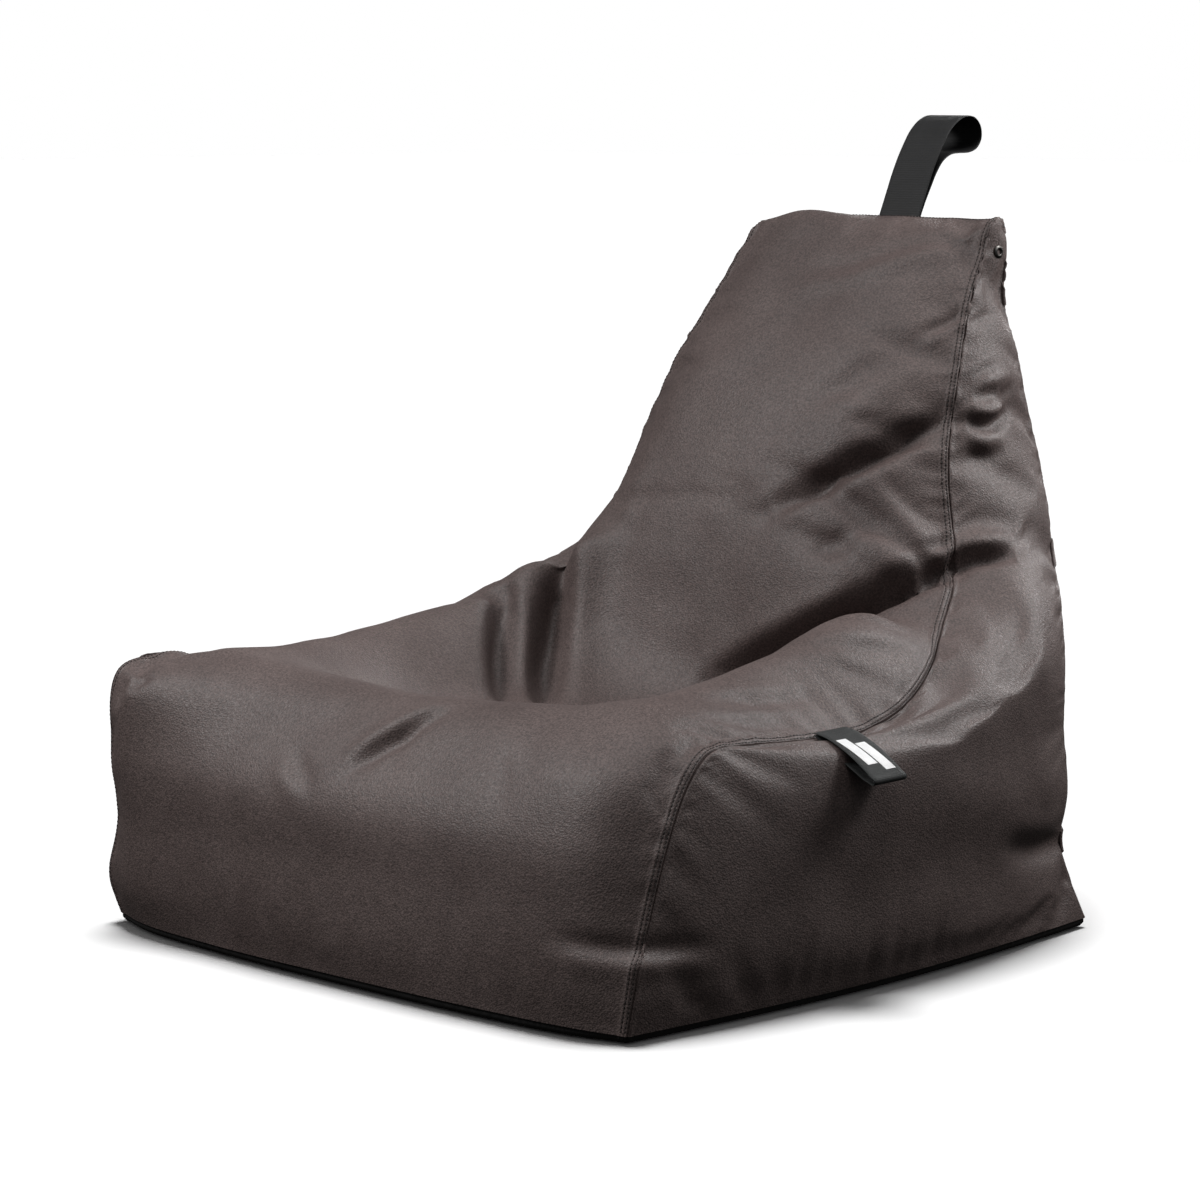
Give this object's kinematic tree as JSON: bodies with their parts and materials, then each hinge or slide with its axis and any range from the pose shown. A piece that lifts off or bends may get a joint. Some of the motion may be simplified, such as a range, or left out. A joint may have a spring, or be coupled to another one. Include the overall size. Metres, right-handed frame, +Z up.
{
  "type": "bean bag chair",
  "caption": "High-back bean bag chair with arm rolls, a hollowed seat, a webbing carry loop, a side seam label, breather eyelets and a rear zip.",
  "frame": {"origin": "centre of the base panel's underside, on the floor", "axes": "+Z up, the sitter faces -Y, +X is the sitter's left and the chair's shortest extent"},
  "size_m": [0.9292, 1.0463, 0.9589],
  "materials": {
    "cover_leatherette": "satin suede-effect leatherette",
    "base_fabric": "black coated non-slip fabric",
    "webbing": "woven black webbing",
    "label_fabric": "matte dark grey label",
    "care_label_fabric": "plain white satin tape",
    "eyelet_metal": "blackened brass",
    "zip_tape": "woven polyester tape",
    "zip_teeth_plastic": "moulded plastic",
    "liner_zip_plastic": "moulded plastic",
    "slider_metal": "dark plated zinc",
    "liner_fabric": "white polyester lining",
    "foam_beads": "expanded polystyrene beads"
  },
  "bodies": {
    "bag": {"seat_panel": "cover_leatherette", "left_side_panel": "cover_leatherette", "right_side_panel": "cover_leatherette", "rear_panel_upper": "cover_leatherette", "rear_panel_lower": "cover_leatherette", "zip_garage": "cover_leatherette", "base_panel": "base_fabric", "handle_tails": "webbing", "handle_backing_patch": "base_fabric", "care_label": "care_label_fabric", "breather_eyelets": "eyelet_metal", "eyelet_washers": "eyelet_metal", "cover_zip_tape_upper": "zip_tape", "cover_zip_tape_lower": "zip_tape", "cover_zip_teeth": "zip_teeth_plastic", "cover_zip_stops": "zip_teeth_plastic", "liner_zip_tape_upper": "liner_fabric", "liner_zip_tape_lower": "liner_fabric", "liner_zip_teeth": "liner_zip_plastic", "liner_zip_stops": "liner_zip_plastic", "liner_seat_panel": "liner_fabric", "liner_left_side_panel": "liner_fabric", "liner_right_side_panel": "liner_fabric", "liner_rear_panel": "liner_fabric", "liner_base_panel": "liner_fabric", "bead_fill": "foam_beads"},
    "handle": {"handle_strap": "webbing"},
    "label": {"side_label": "label_fabric"},
    "cover_slider": {"cover_zip_slider": "slider_metal"},
    "liner_slider": {"liner_zip_slider": "slider_metal"}
  },
  "joints": [
    {"name": "handle_flex", "type": "hinge", "parent": "bag", "child": "handle", "pos_m": [0, 0.532, 0.8183], "axis": [1, 0, 0], "range_deg": [-60, 90], "stiffness_Nm_per_rad": 0.15},
    {"name": "label_flex", "type": "hinge", "parent": "bag", "child": "label", "pos_m": [0.4105, -0.055, 0.2909], "axis": [0, 1, 0], "range_deg": [-60, 55], "stiffness_Nm_per_rad": 0.012},
    {"name": "cover_zip_slide", "type": "slide", "parent": "bag", "child": "cover_slider", "axis": [1, 0, 0], "range_m": [-0.58, 0], "deforming": ["cover_zip_teeth"]},
    {"name": "liner_zip_slide", "type": "slide", "parent": "bag", "child": "liner_slider", "axis": [1, 0, 0], "range_m": [-0.38, 0], "deforming": ["liner_zip_teeth"]}
  ]
}
